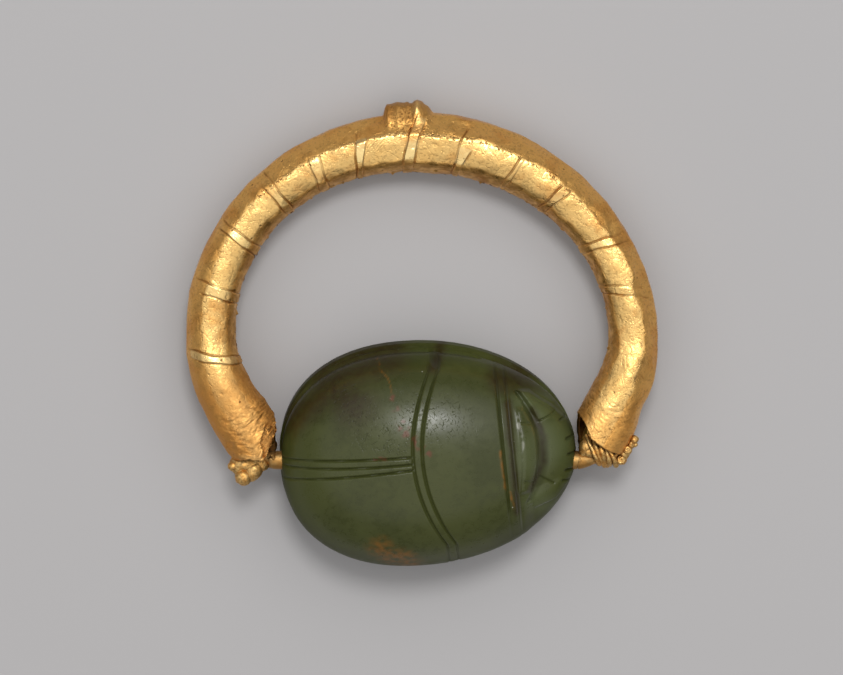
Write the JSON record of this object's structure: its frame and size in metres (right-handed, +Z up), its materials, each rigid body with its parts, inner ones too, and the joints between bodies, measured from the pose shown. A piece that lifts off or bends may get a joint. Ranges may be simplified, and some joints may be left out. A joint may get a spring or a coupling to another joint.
{
  "type": "finger ring",
  "caption": "Ancient swivel ring: chased sheet-gold hoop with broken ends, gold wire through a green jasper scarab",
  "frame": {"origin": "centre of the bounding box on the floor it lies on", "axes": "+Z up from the floor, +X along the swivel wire towards the beetle's head, +Y from the scarab to the crown of the hoop"},
  "size_m": [0.0292, 0.029, 0.008],
  "materials": {
    "sheet_gold": "hammered and worn",
    "gold_wire": "drawn, dulled",
    "green_jasper": "polished, scratched"
  },
  "bodies": {
    "shank": {"hoop": "sheet_gold", "swivel_wire": "gold_wire"},
    "bezel": {"scarab": "green_jasper"}
  },
  "joints": [
    {"name": "scarab_swivel", "type": "hinge", "parent": "shank", "child": "bezel", "pos_m": [0, -0.00772, 0.0034], "axis": [1, 0, 0], "continuous": true}
  ]
}
